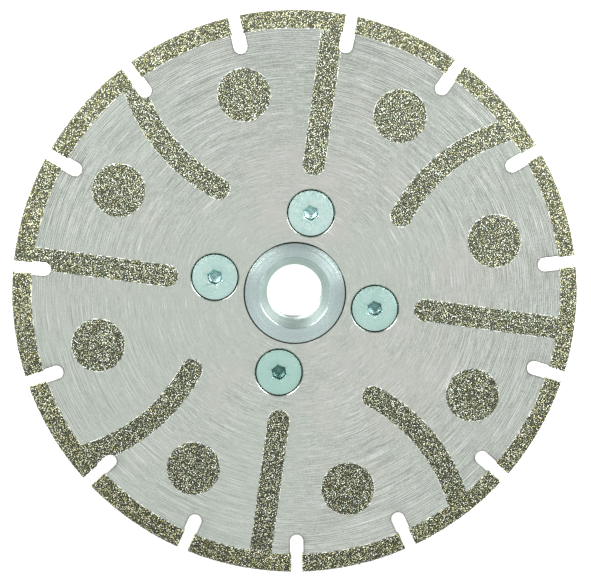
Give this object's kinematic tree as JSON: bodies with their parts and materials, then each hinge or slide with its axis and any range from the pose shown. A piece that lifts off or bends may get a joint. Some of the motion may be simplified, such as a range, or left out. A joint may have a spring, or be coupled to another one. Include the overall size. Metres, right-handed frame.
{
  "type": "diamond grinding wheel",
  "caption": "Slotted steel disc with bonded diamond grit on rim, arms and dots, held by countersunk screws to a threaded spindle flange.",
  "frame": {"origin": "centre of the flange's rear seat, the flat ring that bears on the spindle's shoulder; the wheel rests on it when laid down", "axes": "+Z along the wheel's axis, out of the working face; +X and +Y in the plane of the disc"},
  "size_m": [0.125, 0.125, 0.0119],
  "materials": {
    "core_steel": "ground in circles, satin",
    "rim_grit": "diamond grit in nickel, coarse and sparkling, golden",
    "face_grit": "diamond grit in nickel, coarse and sparkling, grey-green",
    "turned_steel": "lathe-turned, satin",
    "zinc_screw": "zinc plated with a pale green-blue passivation"
  },
  "bodies": {
    "flange_body": {"flange": "turned_steel"},
    "disc_body": {"disc_core": "core_steel", "rim_grit_01": "rim_grit", "rim_grit_02": "rim_grit", "rim_grit_03": "rim_grit", "rim_grit_04": "rim_grit", "rim_grit_05": "rim_grit", "rim_grit_06": "rim_grit", "rim_grit_07": "rim_grit", "rim_grit_08": "rim_grit", "rim_grit_09": "rim_grit", "rim_grit_10": "rim_grit", "rim_grit_11": "rim_grit", "rim_grit_12": "rim_grit", "rim_grit_13": "rim_grit", "rim_grit_14": "rim_grit", "rim_grit_15": "rim_grit", "front_arm_1": "face_grit", "front_arm_2": "face_grit", "front_arm_3": "face_grit", "front_arm_4": "face_grit", "front_curve_1": "face_grit", "front_curve_2": "face_grit", "front_curve_3": "face_grit", "front_curve_4": "face_grit", "front_dot_1": "face_grit", "front_dot_2": "face_grit", "front_dot_3": "face_grit", "front_dot_4": "face_grit", "front_dot_5": "face_grit", "front_dot_6": "face_grit", "front_dot_7": "face_grit", "front_dot_8": "face_grit", "rear_arm_1": "face_grit", "rear_arm_2": "face_grit", "rear_arm_3": "face_grit", "rear_arm_4": "face_grit", "rear_curve_1": "face_grit", "rear_curve_2": "face_grit", "rear_curve_3": "face_grit", "rear_curve_4": "face_grit", "rear_dot_1": "face_grit", "rear_dot_2": "face_grit", "rear_dot_3": "face_grit", "rear_dot_4": "face_grit", "rear_dot_5": "face_grit", "rear_dot_6": "face_grit", "rear_dot_7": "face_grit", "rear_dot_8": "face_grit"},
    "screw_1_body": {"screw_1": "zinc_screw"},
    "screw_2_body": {"screw_2": "zinc_screw"},
    "screw_3_body": {"screw_3": "zinc_screw"},
    "screw_4_body": {"screw_4": "zinc_screw"}
  },
  "joints": [
    {"name": "disc_lift", "type": "slide", "parent": "flange_body", "child": "disc_body", "axis": [0, 0, 1], "range_m": [0, 0.005]},
    {"name": "screw_1_turn", "type": "hinge", "parent": "disc_body", "child": "screw_1_body", "pos_m": [0.00353, 0.01765, 0.0095], "axis": [0, 0, 1], "range_deg": [0, 2250]},
    {"name": "screw_2_turn", "type": "hinge", "parent": "disc_body", "child": "screw_2_body", "pos_m": [-0.01765, 0.00353, 0.0095], "axis": [0, 0, 1], "range_deg": [0, 2250]},
    {"name": "screw_3_turn", "type": "hinge", "parent": "disc_body", "child": "screw_3_body", "pos_m": [-0.00353, -0.01765, 0.0095], "axis": [0, 0, 1], "range_deg": [0, 2250]},
    {"name": "screw_4_turn", "type": "hinge", "parent": "disc_body", "child": "screw_4_body", "pos_m": [0.01765, -0.00353, 0.0095], "axis": [0, 0, 1], "range_deg": [0, 2250]}
  ],
  "couplings": [
    {"joint": "screw_1_turn", "follows": "disc_lift", "rad_per_m": 7854},
    {"joint": "screw_2_turn", "follows": "disc_lift", "rad_per_m": 7854},
    {"joint": "screw_3_turn", "follows": "disc_lift", "rad_per_m": 7854},
    {"joint": "screw_4_turn", "follows": "disc_lift", "rad_per_m": 7854}
  ]
}
